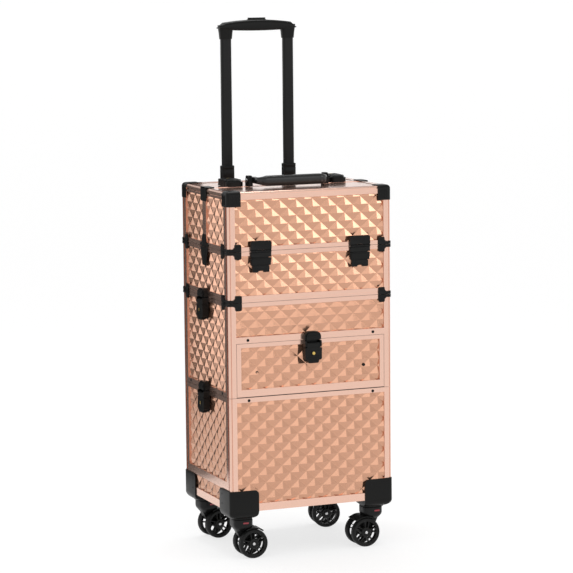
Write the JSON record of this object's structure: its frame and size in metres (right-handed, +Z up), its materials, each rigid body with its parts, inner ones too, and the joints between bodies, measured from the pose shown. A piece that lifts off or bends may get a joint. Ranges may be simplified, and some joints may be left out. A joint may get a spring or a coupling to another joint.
{
  "type": "makeup train case",
  "caption": "Rolling makeup train case: wheeled base, lift-off drawer section, lift-off top case with split lid, swing-out trays and trolley handle.",
  "frame": {"origin": "on the floor, at the centre of the part's footprint box, poles and latches included", "axes": "+X to the right seen from the front, +Y from the front to the back, +Z up"},
  "size_m": [0.37, 0.296, 1.045],
  "materials": {
    "rose_aluminium": "satin rose-gold anodised edge extrusions",
    "rose_panel": "glossy rose-gold embossed diamond sheet",
    "lining": "black flocked lining on board",
    "tray_plastic": "black moulded trays with a felt lining",
    "steel": "zinc-plated runners, arms and pins",
    "chrome": "polished rivets, screws and axle ends",
    "black_fittings": "black moulded plastic with fine grain",
    "black_steel": "black powder-coated steel",
    "black_aluminium": "satin black anodised tube",
    "wheel_plastic": "black wheels",
    "wheel_tread": "soft black tread",
    "brass": "lock cylinders",
    "red_inlay": "plain red inlay on the caster housings"
  },
  "bodies": {
    "base": {"base_box": "lining", "base_frame": "rose_aluminium", "caster_brackets": "black_fittings", "base_fittings": "black_fittings", "trolley_tubes": "black_aluminium"},
    "drawer_section": {"drawer_section_box": "lining", "drawer_section_frame": "rose_aluminium", "drawer_channels": "steel", "drawer_section_fittings": "black_fittings"},
    "drawer": {"drawer_box": "lining", "drawer_front": "rose_aluminium", "drawer_rails": "steel", "drawer_lock_base": "black_fittings"},
    "drawer_lock": {"drawer_lock_lever": "black_fittings"},
    "train_case": {"train_case_box": "lining", "train_case_frame": "rose_aluminium", "train_case_fittings": "black_fittings", "tray_arm_brackets": "steel", "stay_hinge_leaves": "black_steel", "hinge_pins": "steel"},
    "lid_front": {"lid_front_shell": "lining", "lid_front_frame": "rose_aluminium", "lid_front_corners": "black_fittings", "lid_front_hinge_leaves": "black_steel", "lid_front_fittings": "black_fittings"},
    "lid_back": {"lid_back_shell": "lining", "lid_back_frame": "rose_aluminium", "lid_back_corners": "black_fittings", "lid_back_hinge_leaves": "black_steel", "lid_back_fittings": "black_fittings"},
    "handle": {"carry_handle": "black_fittings"},
    "trolley": {"trolley_poles": "black_aluminium", "trolley_grip": "black_fittings"},
    "release_button": {"trolley_button": "black_fittings"},
    "front_arms_a": {"front_arms_a": "steel"},
    "front_arms_b": {"front_arms_b": "steel"},
    "front_tray_lower": {"front_tray_lower": "tray_plastic"},
    "front_tray_upper": {"front_tray_upper": "tray_plastic"},
    "back_arms_a": {"back_arms_a": "steel"},
    "back_arms_b": {"back_arms_b": "steel"},
    "back_tray_lower": {"back_tray_lower": "tray_plastic"},
    "back_tray_upper": {"back_tray_upper": "tray_plastic"},
    "lid_latch_left": {"lid_latch_lever_left": "black_fittings"},
    "lid_latch_right": {"lid_latch_lever_right": "black_fittings"},
    "upper_latch_left": {"upper_latch_lever_left": "black_fittings"},
    "upper_latch_right": {"upper_latch_lever_right": "black_fittings"},
    "lower_latch_left": {"lower_latch_lever_left": "black_fittings"},
    "lower_latch_right": {"lower_latch_lever_right": "black_fittings"},
    "fork_front_left": {"caster_fork_front_left": "black_fittings"},
    "wheel_front_left_a": {"wheel_front_left_a": "wheel_plastic"},
    "wheel_front_left_b": {"wheel_front_left_b": "wheel_plastic"},
    "fork_front_right": {"caster_fork_front_right": "black_fittings"},
    "wheel_front_right_a": {"wheel_front_right_a": "wheel_plastic"},
    "wheel_front_right_b": {"wheel_front_right_b": "wheel_plastic"},
    "fork_back_left": {"caster_fork_back_left": "black_fittings"},
    "wheel_back_left_a": {"wheel_back_left_a": "wheel_plastic"},
    "wheel_back_left_b": {"wheel_back_left_b": "wheel_plastic"},
    "fork_back_right": {"caster_fork_back_right": "black_fittings"},
    "wheel_back_right_a": {"wheel_back_right_a": "wheel_plastic"},
    "wheel_back_right_b": {"wheel_back_right_b": "wheel_plastic"}
  },
  "joints": [
    {"name": "drawer_section_lift", "type": "slide", "parent": "base", "child": "drawer_section", "axis": [0, 0, 1], "range_m": [0, 0.12]},
    {"name": "train_case_lift", "type": "slide", "parent": "drawer_section", "child": "train_case", "axis": [0, 0, 1], "range_m": [0, 0.12]},
    {"name": "drawer_slide", "type": "slide", "parent": "drawer_section", "child": "drawer", "axis": [0, -1, 0], "range_m": [0, 0.155]},
    {"name": "drawer_lock_flip", "type": "hinge", "parent": "drawer", "child": "drawer_lock", "pos_m": [0, -0.1423, 0.4184], "axis": [-1, 0, 0], "range_deg": [0, 100]},
    {"name": "lid_front_hinge", "type": "hinge", "parent": "train_case", "child": "lid_front", "pos_m": [0, -0.1358, 0.605], "axis": [1, 0, 0], "range_deg": [0, 95]},
    {"name": "lid_back_hinge", "type": "hinge", "parent": "train_case", "child": "lid_back", "pos_m": [0, 0.1232, 0.605], "axis": [-1, 0, 0], "range_deg": [0, 3.2]},
    {"name": "front_arms_a_swing", "type": "hinge", "parent": "train_case", "child": "front_arms_a", "pos_m": [0, -0.0983, 0.606], "axis": [1, 0, 0], "range_deg": [0, 95]},
    {"name": "front_arms_b_swing", "type": "hinge", "parent": "train_case", "child": "front_arms_b", "pos_m": [0, -0.0743, 0.606], "axis": [1, 0, 0], "range_deg": [0, 95]},
    {"name": "front_tray_lower_level", "type": "hinge", "parent": "front_arms_a", "child": "front_tray_lower", "pos_m": [0, -0.07926, 0.62061], "axis": [1, 0, 0], "range_deg": [-95, 0]},
    {"name": "front_tray_upper_level", "type": "hinge", "parent": "front_arms_a", "child": "front_tray_upper", "pos_m": [0, -0.03959, 0.65105], "axis": [1, 0, 0], "range_deg": [-95, 0]},
    {"name": "back_arms_a_swing", "type": "hinge", "parent": "train_case", "child": "back_arms_a", "pos_m": [0, 0.0857, 0.606], "axis": [-1, 0, 0], "range_deg": [0, 3.2]},
    {"name": "back_arms_b_swing", "type": "hinge", "parent": "train_case", "child": "back_arms_b", "pos_m": [0, 0.0617, 0.606], "axis": [-1, 0, 0], "range_deg": [0, 3.2]},
    {"name": "back_tray_lower_level", "type": "hinge", "parent": "back_arms_a", "child": "back_tray_lower", "pos_m": [0, 0.06666, 0.62061], "axis": [-1, 0, 0], "range_deg": [-3.2, 0]},
    {"name": "back_tray_upper_level", "type": "hinge", "parent": "back_arms_a", "child": "back_tray_upper", "pos_m": [0, 0.02699, 0.65105], "axis": [-1, 0, 0], "range_deg": [-3.2, 0]},
    {"name": "lid_latch_left_flip", "type": "hinge", "parent": "lid_back", "child": "lid_latch_left", "pos_m": [-0.11, 0.0017, 0.729], "axis": [1, 0, 0], "range_deg": [0, 100]},
    {"name": "lid_latch_right_flip", "type": "hinge", "parent": "lid_back", "child": "lid_latch_right", "pos_m": [0.11, 0.0017, 0.729], "axis": [1, 0, 0], "range_deg": [0, 100]},
    {"name": "upper_latch_left_flip", "type": "hinge", "parent": "drawer_section", "child": "upper_latch_left", "pos_m": [-0.18, -0.0063, 0.498], "axis": [0, 1, 0], "range_deg": [0, 100]},
    {"name": "upper_latch_right_flip", "type": "hinge", "parent": "drawer_section", "child": "upper_latch_right", "pos_m": [0.18, -0.0063, 0.498], "axis": [0, -1, 0], "range_deg": [0, 100]},
    {"name": "lower_latch_left_flip", "type": "hinge", "parent": "base", "child": "lower_latch_left", "pos_m": [-0.18, -0.0063, 0.313], "axis": [0, 1, 0], "range_deg": [0, 100]},
    {"name": "lower_latch_right_flip", "type": "hinge", "parent": "base", "child": "lower_latch_right", "pos_m": [0.18, -0.0063, 0.313], "axis": [0, -1, 0], "range_deg": [0, 100]},
    {"name": "carry_handle_fold", "type": "hinge", "parent": "lid_front", "child": "handle", "pos_m": [0, -0.0173, 0.732], "axis": [-1, 0, 0], "range_deg": [0, 100]},
    {"name": "trolley_slide", "type": "slide", "parent": "base", "child": "trolley", "axis": [0, 0, 1], "range_m": [-0.25, 0]},
    {"name": "release_button_press", "type": "slide", "parent": "trolley", "child": "release_button", "axis": [0, 0, -1], "range_m": [0, 0.003], "stiffness_N_per_m": 300, "springref_m": -0.001},
    {"name": "swivel_front_left", "type": "hinge", "parent": "base", "child": "fork_front_left", "pos_m": [-0.14, -0.1023, 0.07], "axis": [0, 0, 1], "continuous": true},
    {"name": "roll_front_left_a", "type": "hinge", "parent": "fork_front_left", "child": "wheel_front_left_a", "pos_m": [-0.12, -0.1023, 0.029], "axis": [0, 1, 0], "continuous": true},
    {"name": "roll_front_left_b", "type": "hinge", "parent": "fork_front_left", "child": "wheel_front_left_b", "pos_m": [-0.12, -0.1023, 0.029], "axis": [0, 1, 0], "continuous": true},
    {"name": "swivel_front_right", "type": "hinge", "parent": "base", "child": "fork_front_right", "pos_m": [0.14, -0.1023, 0.07], "axis": [0, 0, 1], "continuous": true},
    {"name": "roll_front_right_a", "type": "hinge", "parent": "fork_front_right", "child": "wheel_front_right_a", "pos_m": [0.12, -0.1023, 0.029], "axis": [0, -1, 0], "continuous": true},
    {"name": "roll_front_right_b", "type": "hinge", "parent": "fork_front_right", "child": "wheel_front_right_b", "pos_m": [0.12, -0.1023, 0.029], "axis": [0, -1, 0], "continuous": true},
    {"name": "swivel_back_left", "type": "hinge", "parent": "base", "child": "fork_back_left", "pos_m": [-0.14, 0.0897, 0.07], "axis": [0, 0, 1], "continuous": true},
    {"name": "roll_back_left_a", "type": "hinge", "parent": "fork_back_left", "child": "wheel_back_left_a", "pos_m": [-0.12019, 0.09248, 0.029], "axis": [-0.1392, 0.9903, 0], "continuous": true},
    {"name": "roll_back_left_b", "type": "hinge", "parent": "fork_back_left", "child": "wheel_back_left_b", "pos_m": [-0.12019, 0.09248, 0.029], "axis": [-0.1392, 0.9903, 0], "continuous": true},
    {"name": "swivel_back_right", "type": "hinge", "parent": "base", "child": "fork_back_right", "pos_m": [0.14, 0.0897, 0.07], "axis": [0, 0, 1], "continuous": true},
    {"name": "roll_back_right_a", "type": "hinge", "parent": "fork_back_right", "child": "wheel_back_right_a", "pos_m": [0.12019, 0.09248, 0.029], "axis": [-0.1392, -0.9903, 0], "continuous": true},
    {"name": "roll_back_right_b", "type": "hinge", "parent": "fork_back_right", "child": "wheel_back_right_b", "pos_m": [0.12019, 0.09248, 0.029], "axis": [-0.1392, -0.9903, 0], "continuous": true}
  ],
  "couplings": [
    {"joint": "front_arms_a_swing", "follows": "lid_front_hinge", "ratio": 1},
    {"joint": "front_arms_b_swing", "follows": "lid_front_hinge", "ratio": 1},
    {"joint": "front_tray_lower_level", "follows": "lid_front_hinge", "ratio": -1},
    {"joint": "front_tray_upper_level", "follows": "lid_front_hinge", "ratio": -1},
    {"joint": "back_arms_a_swing", "follows": "lid_back_hinge", "ratio": 1},
    {"joint": "back_arms_b_swing", "follows": "lid_back_hinge", "ratio": 1},
    {"joint": "back_tray_lower_level", "follows": "lid_back_hinge", "ratio": -1},
    {"joint": "back_tray_upper_level", "follows": "lid_back_hinge", "ratio": -1}
  ]
}
